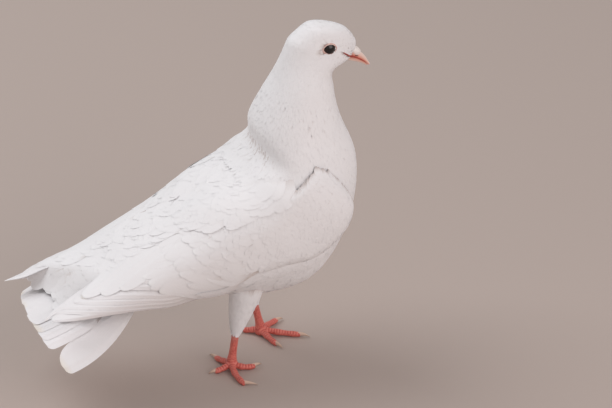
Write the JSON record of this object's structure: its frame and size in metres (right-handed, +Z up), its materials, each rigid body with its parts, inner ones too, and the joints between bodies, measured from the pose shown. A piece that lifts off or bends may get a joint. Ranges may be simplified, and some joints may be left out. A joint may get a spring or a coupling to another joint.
{
  "type": "pigeon",
  "caption": "White domestic pigeon standing with folded wings and a half-spread tail, as a still life-size model for display.",
  "frame": {"origin": "on the floor, under the middle of the bird's length and width", "axes": "+X towards the bill, +Y towards the bird's left side, +Z up"},
  "size_m": [0.2504, 0.1034, 0.2445],
  "materials": {
    "plumage": "white contour feathers, satin, with a soft barbed surface",
    "flight_feather": "white wing and tail feathers, satin, faintly cream at the tips",
    "scaled_skin": "coral red scaled skin of shank and toes, semi-matte",
    "claw_horn": "pale horn of the claws, slightly glossy",
    "bill_horn": "flesh pink horn of the bill, semi-matte",
    "cere_skin": "chalky white swollen skin over the nostrils, matte",
    "eye": "dark brown, nearly black eye with a wet gloss"
  },
  "bodies": {
    "root": {"bill_lower": "bill_horn", "bill_upper": "bill_horn", "cere": "cere_skin", "claw_hind_left": "claw_horn", "claw_hind_right": "claw_horn", "claw_inner_left": "claw_horn", "claw_inner_right": "claw_horn", "claw_middle_left": "claw_horn", "claw_middle_right": "claw_horn", "claw_outer_left": "claw_horn", "claw_outer_right": "claw_horn", "eye_left": "eye", "eye_right": "eye", "head": "plumage", "neck": "plumage", "primaries_left": "flight_feather", "primaries_right": "flight_feather", "shank_left": "scaled_skin", "shank_right": "scaled_skin", "tail": "flight_feather", "thigh_left": "plumage", "thigh_right": "plumage", "toe_hind_left": "scaled_skin", "toe_hind_right": "scaled_skin", "toe_inner_left": "scaled_skin", "toe_inner_right": "scaled_skin", "toe_middle_left": "scaled_skin", "toe_middle_right": "scaled_skin", "toe_outer_left": "scaled_skin", "toe_outer_right": "scaled_skin", "trunk": "plumage", "wing_left": "plumage", "wing_right": "plumage"}
  },
  "joints": []
}
